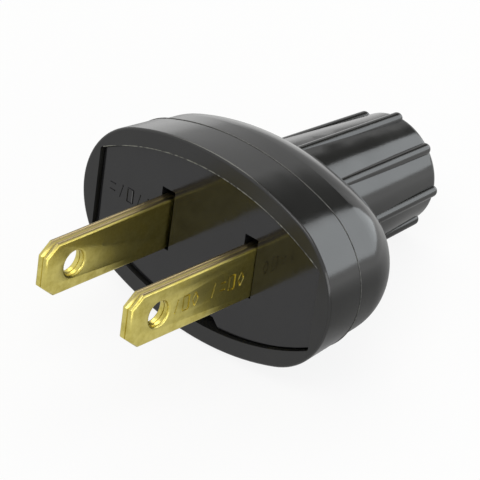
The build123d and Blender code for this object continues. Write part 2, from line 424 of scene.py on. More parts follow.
@dataclass(frozen=True)
class MouldedGloss(Finish):
    """Black phenolic moulding, straight from a polished steel mould.

    The walls are glossy with a faint flow ripple. Faces that are square to the plug's axis
    come from the spark-finished end of the mould, and so they look greyer and more matt.
    """

    name: str = "compression moulded black phenolic"
    colour: str = "#20201f"
    end_colour: str = "#161616"
    wall_roughness: float = 0.14
    end_roughness: float = 0.34
    # Cosines of the angle to the axis between which a wall turns into an end face
    wall_facing: float = 0.9
    end_facing: float = 0.99
    clouding: float = 0.12
    ripple: float = 4.2
    ripple_height: float = 0.03
    # The real grain is a few hundredths of a millimetre, so it is drawn coarser to show.
    grain: float = 0.12
    grain_height: float = 0.0012
    specular: float = 0.42

    def make(self) -> Material:
        """Builds the material.

        Returns:
            The finished material.
        """
        material, tree, shader = self.begin()
        place = add_node(tree, "ShaderNodeTexCoord").outputs["Object"]
        normal = add_node(tree, "ShaderNodeNewGeometry").outputs["Normal"]
        towards_blades = (PLUG.place(0, -1, 0) - PLUG.place(0, 0, 0)).normalized()
        facing = add_node(
            tree,
            "ShaderNodeVectorMath",
            {0: normal, 1: towards_blades},
            operation="DOT_PRODUCT",
        )
        end_face = add_node(
            tree,
            "ShaderNodeMapRange",
            {
                "Value": facing.outputs["Value"],
                "From Min": self.wall_facing,
                "From Max": self.end_facing,
            },
        ).outputs["Result"]
        flow = add_node(
            tree,
            "ShaderNodeTexNoise",
            {"Vector": place, "Scale": 1 / (self.ripple * MILLIMETRE), "Detail": 0.4},
        ).outputs["Fac"]
        grit = add_node(
            tree,
            "ShaderNodeTexNoise",
            {"Vector": place, "Scale": 1 / (self.grain * MILLIMETRE), "Detail": 3.0},
        ).outputs["Fac"]
        colour = add_node(
            tree,
            "ShaderNodeMix",
            {"Factor": end_face, 6: linear(self.colour), 7: linear(self.end_colour)},
            data_type="RGBA",
        ).outputs[2]
        clouded = add_node(
            tree,
            "ShaderNodeHueSaturation",
            {
                "Color": colour,
                "Value": add_node(
                    tree,
                    "ShaderNodeMapRange",
                    {
                        "Value": flow,
                        "To Min": 1 - self.clouding,
                        "To Max": 1 + self.clouding,
                        **NOISE_RANGE,
                    },
                ).outputs["Result"],
            },
        ).outputs["Color"]
        roughness = add_node(
            tree,
            "ShaderNodeMapRange",
            {"Value": end_face, "To Min": self.wall_roughness, "To Max": self.end_roughness},
        ).outputs["Result"]
        worn = add_node(
            tree,
            "ShaderNodeMath",
            {
                0: roughness,
                1: add_node(
                    tree,
                    "ShaderNodeMapRange",
                    {"Value": grit, "To Min": 0.9, "To Max": 1.15, **NOISE_RANGE},
                ).outputs["Result"],
            },
            operation="MULTIPLY",
        ).outputs["Value"]
        waves = add_node(
            tree,
            "ShaderNodeBump",
            {"Height": flow, "Distance": self.ripple_height * MILLIMETRE, "Strength": 1.0},
        ).outputs["Normal"]
        surface = add_node(
            tree,
            "ShaderNodeBump",
            {
                "Height": grit,
                "Distance": self.grain_height * MILLIMETRE,
                "Strength": 1.0,
                "Normal": waves,
            },
        ).outputs["Normal"]
        tree.links.new(clouded, shader.inputs["Base Color"])
        tree.links.new(worn, shader.inputs["Roughness"])
        tree.links.new(surface, shader.inputs["Normal"])
        shader.inputs["IOR"].default_value = 1.54
        shader.inputs["Specular IOR Level"].default_value = self.specular
        return material


@dataclass(frozen=True)
class PolishedSheet(Finish):
    """Black vulcanised plate, pressed between polished platens, smoother than the moulding."""

    name: str = "pressed black plate with polished face"
    colour: str = "#161618"
    roughness: float = 0.08
    speck: float = 0.35
    dust_roughness: float = 0.18
    ripple: float = 4.5
    ripple_height: float = 0.05
    specular: float = 0.42

    def make(self) -> Material:
        """Builds the material.

        Returns:
            The finished material.
        """
        material, tree, shader = self.begin()
        place = add_node(tree, "ShaderNodeTexCoord").outputs["Object"]
        dust = add_node(
            tree,
            "ShaderNodeTexNoise",
            {"Vector": place, "Scale": 1 / (self.speck * MILLIMETRE), "Detail": 4.0},
        ).outputs["Fac"]
        flow = add_node(
            tree,
            "ShaderNodeTexNoise",
            {"Vector": place, "Scale": 1 / (self.ripple * MILLIMETRE), "Detail": 1.0},
        ).outputs["Fac"]
        roughness = add_node(
            tree,
            "ShaderNodeMapRange",
            {
                "Value": dust,
                "From Min": 0.35,
                "From Max": 0.75,
                "To Min": self.roughness,
                "To Max": self.dust_roughness,
            },
        ).outputs["Result"]
        tint = add_node(
            tree,
            "ShaderNodeHueSaturation",
            {
                "Color": linear(self.colour),
                "Value": add_node(
                    tree,
                    "ShaderNodeMapRange",
                    {"Value": dust, "To Min": 0.9, "To Max": 1.12, **NOISE_RANGE},
                ).outputs["Result"],
            },
        ).outputs["Color"]
        surface = add_node(
            tree,
            "ShaderNodeBump",
            {"Height": flow, "Distance": self.ripple_height * MILLIMETRE, "Strength": 1.0},
        ).outputs["Normal"]
        tree.links.new(tint, shader.inputs["Base Color"])
        tree.links.new(roughness, shader.inputs["Roughness"])
        tree.links.new(surface, shader.inputs["Normal"])
        shader.inputs["IOR"].default_value = 1.54
        shader.inputs["Specular IOR Level"].default_value = self.specular
        return material


@dataclass(frozen=True)
class PaintedHighlightEdge(Finish):
    """Edge of the moulding with pale patches of painted highlight, so that it shows as a broken
    pale line.
    """

    name: str = "rubbed edge of the moulding"
    colour: str = "#2c2c2a"
    # Colour of the pale patches, a painted highlight
    painted_highlight_colour: str = "#75756c"
    patch: float = 0.5
    roughness: float = 0.5

    def make(self) -> Material:
        """Builds the material.

        Returns:
            The finished material.
        """
        material, tree, shader = self.begin()
        place = add_node(tree, "ShaderNodeTexCoord").outputs["Object"]
        patches = add_node(
            tree,
            "ShaderNodeTexNoise",
            {"Vector": place, "Scale": 1 / (self.patch * MILLIMETRE), "Detail": 3.0},
        ).outputs["Fac"]
        # Pale patches of painted highlight along the edge
        highlight_patches = add_node(
            tree, "ShaderNodeMapRange", {"Value": patches, "From Min": 0.42, "From Max": 0.6}
        ).outputs["Result"]
        colour = add_node(
            tree,
            "ShaderNodeMix",
            {"Factor": highlight_patches, 6: linear(self.colour), 7: linear(self.painted_highlight_colour)},
            data_type="RGBA",
        ).outputs[2]
        tree.links.new(colour, shader.inputs["Base Color"])
        shader.inputs["Roughness"].default_value = self.roughness
        return material


@dataclass(frozen=True)
class RolledBrass(Finish):
    """Cold-rolled brass strip, a little dull, with fine rolling lines along the blade.

    The faces that look up and down on the folded blades carry painted shade, darker and
    browner, so that each blade shows a bright corner beside a dull top.
    """

    name: str = "rolled brass strip"
    colour: str = "#d4c772"
    dull_colour: str = "#b9ab54"
    # Colour of the painted shade on the upward and downward faces
    painted_shade_colour: str = "#85785a"
    # Cosines of the angle to upright between which a rolled face turns into painted shade
    rolled_facing: float = 0.7
    shade_facing: float = 0.92
    # Distances from the blade's middle between which the painted brown shade comes in
    clear_of_hole: float = 1.8
    fully_shaded: float = 1.98
    roughness: float = 0.29
    dull_roughness: float = 0.38
    # The real lines and pits are a few hundredths of a millimetre, so they are drawn coarser.
    line: float = 0.12
    line_stretch: float = 10.0
    line_height: float = 0.0005
    pit: float = 0.2
    pit_height: float = 0.009
    stain: float = 1.6

    def painted_shade_mask(self, tree: NodeTree, place: NodeSocket) -> NodeSocket:
        """Finds where the shade is painted: the faces that look up and down, clear of the hole.

        Args:
            tree: Node tree of the material.
            place: Socket with the Object coordinates.

        Returns:
            Socket with 1 where the shade is painted and 0 on the rolled faces.
        """
        normal = add_node(tree, "ShaderNodeNewGeometry").outputs["Normal"]
        middle = PLUG.place(0, 0, 0)
        upwards = (PLUG.place(0, 0, 1) - middle).normalized()
        offset = add_node(
            tree, "ShaderNodeVectorMath", {0: place, 1: middle}, operation="SUBTRACT"
        ).outputs["Vector"]
        shares = []
        for vector, low, high in (
            (normal, self.rolled_facing, self.shade_facing),
            (offset, self.clear_of_hole * MILLIMETRE, self.fully_shaded * MILLIMETRE),
        ):
            along = add_node(
                tree, "ShaderNodeVectorMath", {0: vector, 1: upwards}, operation="DOT_PRODUCT"
            ).outputs["Value"]
            either_way = add_node(
                tree, "ShaderNodeMath", {0: along}, operation="ABSOLUTE"
            ).outputs["Value"]
            share = add_node(
                tree, "ShaderNodeMapRange", {"Value": either_way, "From Min": low, "From Max": high}
            ).outputs["Result"]
            shares.append(share)
        return add_node(
            tree, "ShaderNodeMath", {0: shares[0], 1: shares[1]}, operation="MULTIPLY"
        ).outputs["Value"]

    def make(self) -> Material:
        """Builds the material.

        Returns:
            The finished material.
        """
        material, tree, shader = self.begin()
        place = add_node(tree, "ShaderNodeTexCoord").outputs["Object"]
        drawn = add_node(
            tree,
            "ShaderNodeMapping",
            {"Vector": place, "Scale": (1.0, 1 / self.line_stretch, 1.0)},
        ).outputs["Vector"]
        lines = add_node(
            tree,
            "ShaderNodeTexNoise",
            {"Vector": drawn, "Scale": 1 / (self.line * MILLIMETRE), "Detail": 2.0},
        ).outputs["Fac"]
        stains = add_node(
            tree,
            "ShaderNodeTexNoise",
            {
                "Vector": place,
                "Scale": 1 / (self.stain * MILLIMETRE),
                "Detail": 5.0,
                "Roughness": 0.65,
            },
        ).outputs["Fac"]
        tarnish = add_node(
            tree,
            "ShaderNodeMapRange",
            {"Value": stains, "From Min": 0.42, "From Max": 0.68},
        ).outputs["Result"]
        rolled_colour = add_node(
            tree,
            "ShaderNodeMix",
            {"Factor": tarnish, 6: linear(self.colour), 7: linear(self.dull_colour)},
            data_type="RGBA",
        ).outputs[2]
        # The rolled colour gives way to the painted shade on the upward and downward faces
        colour = add_node(
            tree,
            "ShaderNodeMix",
            {
                "Factor": self.painted_shade_mask(tree, place),
                6: rolled_colour,
                7: linear(self.painted_shade_colour),
            },
            data_type="RGBA",
        ).outputs[2]
        roughness = add_node(
            tree,
            "ShaderNodeMapRange",
            {"Value": tarnish, "To Min": self.roughness, "To Max": self.dull_roughness},
        ).outputs["Result"]
        pits = add_node(
            tree,
            "ShaderNodeTexVoronoi",
            {"Vector": place, "Scale": 1 / (self.pit * MILLIMETRE)},
        ).outputs["Distance"]
        pitted = add_node(
            tree,
            "ShaderNodeMapRange",
            {"Value": pits, "From Min": 0.0, "From Max": 0.35},
        ).outputs["Result"]
        rolled = add_node(
            tree,
            "ShaderNodeBump",
            {"Height": lines, "Distance": self.line_height * MILLIMETRE, "Strength": 1.0},
        ).outputs["Normal"]
        surface = add_node(
            tree,
            "ShaderNodeBump",
            {
                "Height": pitted,
                "Distance": self.pit_height * MILLIMETRE,
                "Strength": 0.5,
                "Normal": rolled,
            },
        ).outputs["Normal"]
        tree.links.new(colour, shader.inputs["Base Color"])
        tree.links.new(roughness, shader.inputs["Roughness"])
        tree.links.new(surface, shader.inputs["Normal"])
        shader.inputs["Metallic"].default_value = 1.0
        return material


@dataclass(frozen=True)
class TurnedMetal(Finish):
    """Metal turned on a lathe and, on the nuts, zinc plated: fine grooves and a soft shine."""

    name: str
    colour: str
    shade: str
    roughness: float
    # The real grooves are about 0.05 mm apart, so they are drawn coarser to show.
    groove: float = 0.2
    groove_height: float = 0.002

    def make(self) -> Material:
        """Builds the material.

        Returns:
            The finished material.
        """
        material, tree, shader = self.begin()
        place = add_node(tree, "ShaderNodeTexCoord").outputs["Object"]
        grain = add_node(
            tree,
            "ShaderNodeTexNoise",
            {"Vector": place, "Scale": 1 / (self.groove * MILLIMETRE), "Detail": 3.0},
        ).outputs["Fac"]
        colour = add_node(
            tree,
            "ShaderNodeMix",
            {"Factor": grain, 6: linear(self.colour), 7: linear(self.shade)},
            data_type="RGBA",
        ).outputs[2]
        roughness = add_node(
            tree,
            "ShaderNodeMapRange",
            {"Value": grain, "To Min": self.roughness * 0.8, "To Max": self.roughness * 1.3},
        ).outputs["Result"]
        surface = add_node(
            tree,
            "ShaderNodeBump",
            {"Height": grain, "Distance": self.groove_height * MILLIMETRE, "Strength": 1.0},
        ).outputs["Normal"]
        tree.links.new(colour, shader.inputs["Base Color"])
        tree.links.new(roughness, shader.inputs["Roughness"])
        tree.links.new(surface, shader.inputs["Normal"])
        shader.inputs["Metallic"].default_value = 1.0
        return material


@dataclass(frozen=True)
class Arc:
    """Part of a bead's path: an arc round an axis along Y, in plug millimetres."""

    x: float
    z: float
    turn: float
    steps: int


def sweep_bead(start: Vector, lean: float, radius: float, arcs: Iterable[Arc]) -> Object:
    """Sweeps a round bead through arcs that follow one another.

    Args:
        start: Middle of the bead's first end.
        lean: Angle from upright, towards -X, of the first arc's radius, in radians.
        radius: Radius of the bead.
        arcs: Arcs in order, each turned about +Z towards +X.

    Returns:
        The bead as a tube with a flat face at its start and its end.
    """
    bpy.ops.object.select_all(action="DESELECT")
    bpy.ops.mesh.primitive_circle_add(
        vertices=BEAD_SIDES,
        radius=radius,
        fill_type="NGON",
        location=start,
        rotation=(0, pi / 2 - lean, 0),
    )
    bpy.ops.object.transform_apply(location=True, rotation=True, scale=True)
    bead = bpy.context.active_object
    bpy.ops.object.mode_set(mode="EDIT")
    bpy.ops.mesh.select_all(action="SELECT")
    for arc in arcs:
        bpy.ops.mesh.spin(
            steps=arc.steps, angle=arc.turn, center=(arc.x, start.y, arc.z), axis=(0, -1, 0)
        )
    bpy.ops.object.mode_set(mode="OBJECT")
    return bead


@dataclass
class PartingFlash:
    """Hair-fine bead of flash where the two halves of the mould met round the flange."""

    half_length: float = 18.6
    half_height: float = 11.5
    end_radius: float = 9.9
    draft: float = 5.0
    depth: float = 5.6
    bead_radius: float = 0.065
    crown_steps: int = 24
    end_steps: int = 40

    def build(self, material: Material) -> None:
        """Models the bead as a closed ring, worn flat where the plug lies on it.

        Args:
            material: Finish of the flash.
        """
        inset = self.depth * tan(radians(self.draft))
        end_x = self.half_length - self.end_radius
        crown = (end_x**2 + self.half_height**2 - self.end_radius**2) / (
            2 * (self.half_height - self.end_radius)
        )
        crown_z = self.half_height - crown
        lean = atan2(end_x, -crown_z)
        start = Vector((-end_x, self.depth, 0))
        start += (self.end_radius - inset) * Vector((-sin(lean), 0, cos(lean)))
        arcs = (
            Arc(0, crown_z, 2 * lean, self.crown_steps),
            Arc(end_x, 0, pi - 2 * lean, self.end_steps),
            Arc(0, -crown_z, 2 * lean, self.crown_steps),
            Arc(-end_x, 0, pi - 2 * lean, self.end_steps),
        )
        bead = sweep_bead(start, lean, self.bead_radius, arcs)
        with at_work_on(bead) as mesh:
            pick(mesh.faces, lambda middle, facing: (middle - start).length < SLACK)
            bpy.ops.mesh.delete(type="ONLY_FACE")
        settle_mesh(bead, smooth_below=60)
        settle_in_frame(bead, "parting_flash", material)
        for vertex in bead.data.vertices:
            vertex.co.z = max(vertex.co.z, cad_box[0].z)


@dataclass
class RecessLip:
    """Slightly raised lip that the mould left along the top of the recess, with a painted
    highlight.
    """

    half_length: float = 16.45
    half_height: float = 9.35
    half_end: float = 4.9
    corner: float = 0.4
    bead_radius: float = 0.055
    steps: int = 48

    def build(self, material: Material) -> None:
        """Models the lip from corner to corner and puts it on the body.

        Args:
            material: Finish of the lip.
        """
        rise = self.half_height - self.half_end
        radius = (self.half_length**2 + rise**2) / (2 * rise)
        middle_z = self.half_height - radius
        lean = asin((self.half_length - self.corner) / radius)
        start = Vector((-radius * sin(lean), 0, middle_z + radius * cos(lean)))
        lip = sweep_bead(start, lean, self.bead_radius, [Arc(0, middle_z, 2 * lean, self.steps)])
        settle_mesh(lip, smooth_below=60)
        settle_in_frame(lip, "recess_lip", material)


@dataclass
class PlateSigns:
    """Row of plain raised signs on the plate beside the left blade."""

    face: float = 0.55
    height: float = 0.09
    sign_height: float = 1.7
    sign_width: float = 1.0
    stroke: float = 0.2
    top_width_share: float = 0.4
    top_length_share: float = 0.93
    pitch: float = 1.35
    start: float = -15.0
    level: float = -0.2
    marks: tuple[Mark, ...] = (Mark.STEPS, Mark.STROKE, Mark.WINDOW, Mark.STROKE, Mark.LOZENGE)

    def build(self, material: Material) -> None:
        """Models the signs as one piece and puts them on the plate.

        Args:
            material: Finish of the plate.
        """
        bars = []
        for index, mark in enumerate(self.marks):
            corner = Vector((self.start + index * self.pitch, self.face, self.level))
            for ends in mark.value:
                first, last = (
                    corner + Vector((across * self.sign_width, 0, up * self.sign_height))
                    for across, up in ends
                )
                bars.append(self.bar(first, last))
        signs = join(bars)
        settle_mesh(signs, smooth_below=30)
        settle_in_frame(signs, "plate_signs", material)

    def bar(self, first: Vector, last: Vector) -> Object:
        """Makes one raised stroke with sloping walls.

        Args:
            first: One end of the stroke, on the plate's face.
            last: Its other end.

        Returns:
            Closed bar that is sunk a little into the plate.
        """
        run = last - first
        reach = Vector((self.stroke / 2, self.height, run.length / 2))
        block = add_block(-reach, reach)
        with at_work_on(block) as mesh:
            pick(mesh.faces, lambda middle, facing: facing.y < -SQUARE)
            bpy.ops.transform.resize(value=(self.top_width_share, 1, self.top_length_share))
        turn = Vector((0, 0, 1)).rotation_difference(run).to_matrix().to_4x4()
        block.data.transform(Matrix.Translation((first + last) / 2) @ turn)
        return block


@dataclass
class Moulding:
    """The body and the cover plate, which keep their solids and get their finishes."""

    body_finish: MouldedGloss = field(default_factory=MouldedGloss)
    plate_finish: PolishedSheet = field(default_factory=PolishedSheet)
    # Lip and flash take pale patches of painted highlight; the flash's are darker
    lip_finish: PaintedHighlightEdge = field(default_factory=PaintedHighlightEdge)
    flash_finish: PaintedHighlightEdge = PaintedHighlightEdge("flash with painted highlight", painted_highlight_colour="#4c4c48", roughness=0.4)
    flash: PartingFlash = field(default_factory=PartingFlash)
    lip: RecessLip = field(default_factory=RecessLip)
    signs: PlateSigns = field(default_factory=PlateSigns)

    def build(self) -> None:
        """Gives both solids their finishes and adds the flash, the lip and the signs."""
        moulded = self.body_finish.make()
        pressed = self.plate_finish.make()
        self.flash.build(self.flash_finish.make())
        self.lip.build(self.lip_finish.make())
        self.signs.build(pressed)
        for node, material in (("body", moulded), ("cover_plate", pressed)):
            solid = frame["nodes"][node]
            for material_slot in solid.material_slots:
                material_slot.material = material
            log.info("%s: %s", node, material.name)


@dataclass
class Blades:
    """Two brass strips, each folded into two leaves, with a foot at the inner end.

    Lengths are in plug millimetres, for the blade at +X.
    """

    spacing: float = 12.7
    width: float = 6.35
    leaf: float = 0.76
    reach: float = 18.3
    depth: float = 8.2
    toe: float = 14.65
    bend_radius: float = 0.6
    toe_corner: float = 1.2
    tip_run: float = 1.6
    tip_drop: float = 1.35
    edge_radius: float = 0.3
    seam_width: float = 0.3
    seam_depth: float = 0.24
    seam_easing: float = 0.1
    seam_end: float = 5.0
    hole_radius: float = 1.5
    hole_to_tip: float = 4.3
    hole_lip: float = 0.28
    hole_groove: float = 0.12
    tapped_radius: float = 1.75
    mark_depth: float = 0.12
    mark_height: float = 1.75
    mark_width: float = 1.05
    mark_stroke: float = 0.26
    mark_floor_width_share: float = 0.35
    mark_floor_length_share: float = 0.9
    mark_pitch: float = 1.42
    marks_start: float = -11.9
    marks: tuple[Mark, ...] = (
        Mark.STROKE,
        Mark.WINDOW,
        Mark.LOZENGE,
        Mark.SPACE,
        Mark.STROKE,
        Mark.STEPS,
        Mark.WINDOW,
        Mark.LOZENGE,
    )
    finish: RolledBrass = field(default_factory=RolledBrass)

    @property
    def inner(self) -> float:
        """X of the face towards the other blade."""
        return self.spacing / 2 - self.leaf

    @property
    def outer(self) -> float:
        """X of the face away from the other blade."""
        return self.spacing / 2 + self.leaf

    def build(self) -> None:
        """Models one blade, copies it to the other side and puts both in place."""
        material = self.finish.make()
        right = self.model_strip()
        self.cut_seam(right)
        self.drill(right)
        left = right.copy()
        left.data = right.data.copy()
        bpy.context.scene.collection.objects.link(left)
        left.data.transform(Matrix.Scale(-1, 4, Vector((1, 0, 0))))
        self.stamp(right)
        for side, blade in ((Side.RIGHT, right), (Side.LEFT, left)):
            settle_mesh(blade, smooth_below=35)
            stand_in(blade, side.node("blade"), material)

    def model_strip(self) -> Object:
        """Models the folded strip, its turned-out foot, its bevelled tip and soft edges.

        Returns:
            The strip, still without seam and holes.
        """
        half = self.width / 2
        bend_start = self.depth - 2 * self.leaf - self.bend_radius
        bend_x = self.outer + self.bend_radius
        tip_corner = Vector((self.inner, -self.reach, -half))
        bend_corner = Vector((self.outer, bend_start, half))
        strip = add_block(tip_corner, bend_corner)
        with at_work_on(strip) as mesh:
            pick(mesh.faces, lambda middle, facing: facing.y > SQUARE)
            bpy.ops.mesh.spin(
                steps=8, angle=pi / 2, center=(bend_x, bend_start, 0), axis=(0, 0, 1)
            )
        with at_work_on(strip) as mesh:
            past_bend = self.outer + self.bend_radius / 2
            pick(mesh.faces, lambda middle, facing: facing.x > SQUARE and middle.x > past_bend)
            bpy.ops.mesh.extrude_region_move(
                TRANSFORM_OT_translate={"value": (self.toe - bend_x, 0, 0)}
            )
        with at_work_on(strip, "EDGE") as mesh:
            toe = self.toe - SLACK
            pick(mesh.edges, lambda middle, run: abs(run.y) > SQUARE and middle.x > toe)
            bpy.ops.mesh.bevel(offset=self.toe_corner, segments=6, profile=0.5)
        for upward in (-1, 1):
            with at_work_on(strip):
                bpy.ops.mesh.select_all(action="SELECT")
                bpy.ops.mesh.bisect(
                    plane_co=(0, self.tip_run - self.reach, upward * half),
                    plane_no=Vector((0, -self.tip_drop, upward * self.tip_run)).normalized(),
                    use_fill=True,
                    clear_outer=True,
                )
        with at_work_on(strip, "EDGE") as mesh:
            pick_sharp(mesh)
            bpy.ops.mesh.bevel(offset=self.edge_radius, segments=3, profile=0.5)
        return strip

    def cut_seam(self, blade: Object) -> None:
        """Cuts the groove between the two leaves along the top and round the tip.

        Args:
            blade: Strip that gets the groove.
        """
        half = self.width / 2
        middle_x = self.spacing / 2
        path = (
            Vector((middle_x, -self.reach, self.tip_drop - half)),
            Vector((middle_x, -self.reach, half - self.tip_drop)),
            Vector((middle_x, self.tip_run - self.reach, half)),
            Vector((middle_x, self.seam_end, half)),
        )
        for start, end in zip(path, path[1:]):
            run = end - start
            bar = add_rod(Vector((0, 0, 0)), "Z", self.seam_depth, run.length + self.seam_depth, 4)
            squeeze = self.seam_width / self.seam_depth / 2
            bar.data.transform(Matrix.Scale(squeeze, 4, Vector((1, 0, 0))))
            turn = run.to_track_quat("Z", "X").to_matrix().to_4x4()
            bar.matrix_world = Matrix.Translation((start + end) / 2) @ turn
            cut(blade, bar)
        with at_work_on(blade, "EDGE") as mesh:
            pick(
                mesh.edges,
                lambda middle, run: abs(abs(middle.x - middle_x) - self.seam_width / 2) < SLACK
                and abs(run.x) < 1 - SQUARE,
            )
            bpy.ops.mesh.bevel(offset=self.seam_easing, segments=3, profile=0.5)

    def drill(self, blade: Object) -> None:
        """Drills the hole near the tip, eases its rims, and drills the tapped hole.

        Args:
            blade: Strip that gets the holes.
        """
        middle_x = self.spacing / 2
        hole = Vector((middle_x, self.hole_to_tip - self.reach, 0))
        cut(blade, add_rod(hole, "X", self.hole_radius, 4 * self.leaf, 64))
        with at_work_on(blade, "EDGE") as mesh:
            for edge in mesh.edges:
                first, last = (vertex.co for vertex in edge.verts)
                same_face = abs(first.x - last.x) < self.leaf
                edge.select_set(same_face and self.on_rim(first, hole) and self.on_rim(last, hole))
            bpy.ops.mesh.bevel(offset=self.hole_lip, segments=4, profile=0.5)
        cut(blade, add_rod(hole, "X", self.hole_radius + self.hole_groove, self.hole_groove, 64))
        foot_middle = Vector((TERMINAL_X, self.depth - self.leaf, 0))
        cut(blade, add_rod(foot_middle, "Y", self.tapped_radius, 4 * self.leaf, 48))

    def on_rim(self, point: Vector, hole: Vector) -> bool:
        """Tells whether a point is on one of the hole's two rims.

        Args:
            point: Point in plug millimetres.
            hole: Middle of the hole.

        Returns:
            True on a rim.
        """
        radius = hypot(point.y - hole.y, point.z - hole.z)
        at_face = abs(abs(point.x - hole.x) - self.leaf) < SLACK
        return at_face and abs(radius - self.hole_radius) < SLACK

    def stamp(self, blade: Object) -> None:
        """Presses the row of plain signs into the blade's outer face.

        Args:
            blade: Blade that is stamped.
        """
        for index, mark in enumerate(self.marks):
            start = self.marks_start + index * self.mark_pitch
            corner = Vector((self.outer, start, -self.mark_height / 2))
            for ends in mark.value:
                first, last = (
                    corner + Vector((0, along * self.mark_width, up * self.mark_height))
                    for along, up in ends
                )
                cut(blade, self.punch(first, last))

    def punch(self, first: Vector, last: Vector) -> Object:
        """Makes the punch of one stroke, tapered so that the stroke has sloping walls.

        Args:
            first: One end of the stroke, on the blade's outer face.
            last: Its other end.

        Returns:
            Closed block that reaches into the outer face.
        """
        run = last - first
        reach = Vector((self.mark_depth, self.mark_stroke / 2, run.length / 2))
        block = add_block(-reach, reach)
        with at_work_on(block) as mesh:
            pick(mesh.faces, lambda middle, facing: facing.x < -SQUARE)
            floor = (1, self.mark_floor_width_share, self.mark_floor_length_share)
            bpy.ops.transform.resize(value=floor)
        turn = Vector((0, 0, 1)).rotation_difference(run).to_matrix().to_4x4()
        block.matrix_world = Matrix.Translation((first + last) / 2) @ turn
        return block


@dataclass
class TerminalScrews:
    """Binding screws: domed slotted head and a threaded shank that grips the wire."""

    head_radius: float = 3.1
    head_height: float = 1.9
    head_rim: float = 0.6
    slot_width: float = 1.0
    slot_depth: float = 1.0
    crest_radius: float = 1.7
    root_radius: float = 1.28
    pitch: float = 0.794
    length: float = 5.2
    foot_front: float = 6.68
    finish: TurnedMetal = TurnedMetal("turned brass screw", "#cdb567", "#ab9145", 0.25)

    def build(self) -> None:
        """Models one screw and puts a copy on each side."""
        stand_in_pair(self.model_screw(), "terminal_screw", self.finish.make())

    def model_screw(self) -> Object:
        """Models the head and shank on the plug's axis.

        Returns:
            The screw at x = 0.
        """
        shank = thread_rod(
            self.root_radius,
            self.crest_radius,
            self.pitch,
            self.foot_front - 0.2,
            self.foot_front + self.length,
        )
        head = add_rod(
            Vector((0, self.foot_front - self.head_height / 2, 0)),
            "Y",
            self.head_radius,
            self.head_height,
            48,
        )
        with at_work_on(head, "EDGE") as mesh:
            front = self.foot_front - self.head_height
            pick(mesh.edges, lambda middle, run: middle.y < front + SLACK)
            bpy.ops.mesh.bevel(
                offset=self.head_height - self.head_rim, segments=6, profile=0.5
            )
        slot_low = Vector((-2 * self.head_radius, front - 1, -self.slot_width / 2))
        slot_high = Vector((2 * self.head_radius, front + self.slot_depth, self.slot_width / 2))
        cut(head, add_block(slot_low, slot_high))
        screw = join([head, shank])
        settle_mesh(screw, smooth_below=30)
        return screw


def thread_rod(root: float, crest: float, pitch: float, start: float, end: float) -> Object:
    """Models a threaded rod on the plug's axis, as a profile swept by a screw modifier.

    Args:
        root: Radius at the bottom of the thread.
        crest: Radius at its crest.
        pitch: Distance from one turn to the next.
        start: Y of the rod's first end.
        end: Y of its last end.

    Returns:
        Closed rod with flat ends.
    """
    bpy.ops.object.select_all(action="DESELECT")
    bpy.ops.mesh.primitive_plane_add(size=1, location=(0, 0, 0))
    rod = bpy.context.active_object
    radii = (root, root, crest, crest, root, root)
    profile = zip(radii, (0.0, *THREAD_SHARES, 1.0))
    with at_work_on(rod, "VERT") as mesh:
        bmesh.ops.delete(mesh, geom=list(mesh.verts), context="VERTS")
        points = [mesh.verts.new((radius, share * pitch, 0)) for radius, share in profile]
        for first, last in zip(points, points[1:]):
            mesh.edges.new((first, last))
        bmesh.update_edit_mesh(rod.data)
    modifier = rod.modifiers.new("thread", "SCREW")
    modifier.axis = "Y"
    modifier.screw_offset = pitch
    modifier.iterations = int((end - start) / pitch) + SPARE_TURNS
    modifier.steps = THREAD_STEPS
    modifier.render_steps = THREAD_STEPS
    modifier.use_merge_vertices = True
    modifier.merge_threshold = 0.001
    bpy.ops.object.modifier_apply(modifier=modifier.name)
    rod.data.transform(Matrix.Translation((0, start - pitch, 0)))
    for height, towards in ((start, -1), (end, 1)):
        with at_work_on(rod):
            bpy.ops.mesh.select_all(action="SELECT")
            bpy.ops.mesh.bisect(
                plane_co=(0, height, 0), plane_no=(0, towards, 0), use_fill=True, clear_outer=True
            )
    settle_mesh(rod, smooth_below=30)
    return rod


@dataclass
class TerminalNuts:
    """Square nuts in the body's pockets, with soft corners and a tapped hole."""

    width: float = 7.9
    front: float = 8.2
    thickness: float = 2.7
    corner: float = 0.4
    edge: float = 0.15
    bore_radius: float = 1.75
    thread_radius: float = 2.05
    pitch: float = 0.794
    finish: TurnedMetal = TurnedMetal("zinc plated steel nut", "#c3c5c6", "#a3a6a8", 0.34)

    def build(self) -> None:
        """Models one nut and puts a copy on each side."""
        stand_in_pair(self.model_nut(), "terminal_nut", self.finish.make())

    def model_nut(self) -> Object:
        """Models the nut on the plug's axis.

        Returns:
            The nut at x = 0.
        """
        half = self.width / 2
        back = self.front + self.thickness
        nut = add_block(Vector((-half, self.front, -half)), Vector((half, back, half)))
        with at_work_on(nut, "EDGE") as mesh:
            pick(mesh.edges, lambda middle, run: abs(run.y) > SQUARE)
            bpy.ops.mesh.bevel(offset=self.corner, segments=3, profile=0.5)
        with at_work_on(nut, "EDGE") as mesh:
            pick_sharp(mesh)
            bpy.ops.mesh.bevel(offset=self.edge, segments=2, profile=0.5)
        cut(
            nut,
            thread_rod(self.bore_radius, self.thread_radius, self.pitch, self.front - 1, back + 1),
        )
        settle_mesh(nut, smooth_below=30)
        return nut


@dataclass(frozen=True)
class SoftBox:
    """A lamp or card seen from the plug: its place and size as angles in degrees."""

    name: str
    azimuth: float
    elevation: float
    wide: float
    tall: float
    radiance: float = 0.0
    distance: float = 0.8
    tint: str = WHITE

    def extent(self) -> tuple[float, float]:
        """Width and height in metres."""
        return (
            2 * self.distance * tan(radians(self.wide / 2)),
            2 * self.distance * tan(radians(self.tall / 2)),
        )


